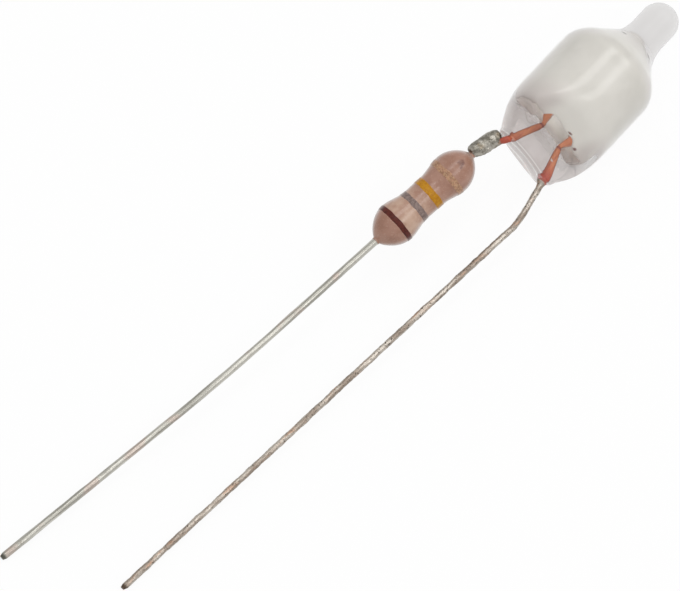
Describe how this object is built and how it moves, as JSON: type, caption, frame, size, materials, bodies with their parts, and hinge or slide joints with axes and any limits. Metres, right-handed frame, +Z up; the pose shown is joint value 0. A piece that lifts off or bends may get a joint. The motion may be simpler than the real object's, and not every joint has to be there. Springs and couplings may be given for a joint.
{
  "type": "neon indicator lamp",
  "caption": "Small wire-ended glow lamp with a white-coated glass bulb, a pinched clear seal and a series resistor soldered in line on its short lead.",
  "frame": {"origin": "below the middle of the lamp's outline, on the surface that it lies on", "axes": "+X along the bulb's axis towards its closed tip, +Z up from the surface"},
  "size_m": [0.0482, 0.0102, 0.006],
  "materials": {
    "clear_glass": "clear blown and fire-polished",
    "phosphor": "matt white powder layer",
    "nickel": "bright drawn nickel",
    "lamp_wire": "dull, patchy tinning over copper; red oxide inside the glass",
    "solder": "rough dull grey solder",
    "tinned_wire": "bright tinned",
    "cap_steel": "pressed and plated",
    "core_ceramic": "unglazed, carbon-filmed",
    "lacquer": "glossy salmon lacquer",
    "brown_paint": "painted ring under gloss",
    "grey_paint": "painted ring under gloss",
    "yellow_paint": "painted ring under gloss",
    "gold_paint": "mottled metallic ring"
  },
  "bodies": {
    "root": {"glass_envelope": "clear_glass", "phosphor_coating": "phosphor", "short_side_electrode": "nickel", "long_side_electrode": "nickel", "short_lamp_lead": "lamp_wire", "long_lamp_lead": "lamp_wire", "solder_joint": "solder", "inner_resistor_lead": "tinned_wire", "outer_resistor_lead": "tinned_wire", "inner_end_cap": "cap_steel", "outer_end_cap": "cap_steel", "resistor_core": "core_ceramic", "resistor_coat": "lacquer", "brown_band": "brown_paint", "grey_band": "grey_paint", "yellow_band": "yellow_paint", "gold_band": "gold_paint"}
  },
  "joints": []
}
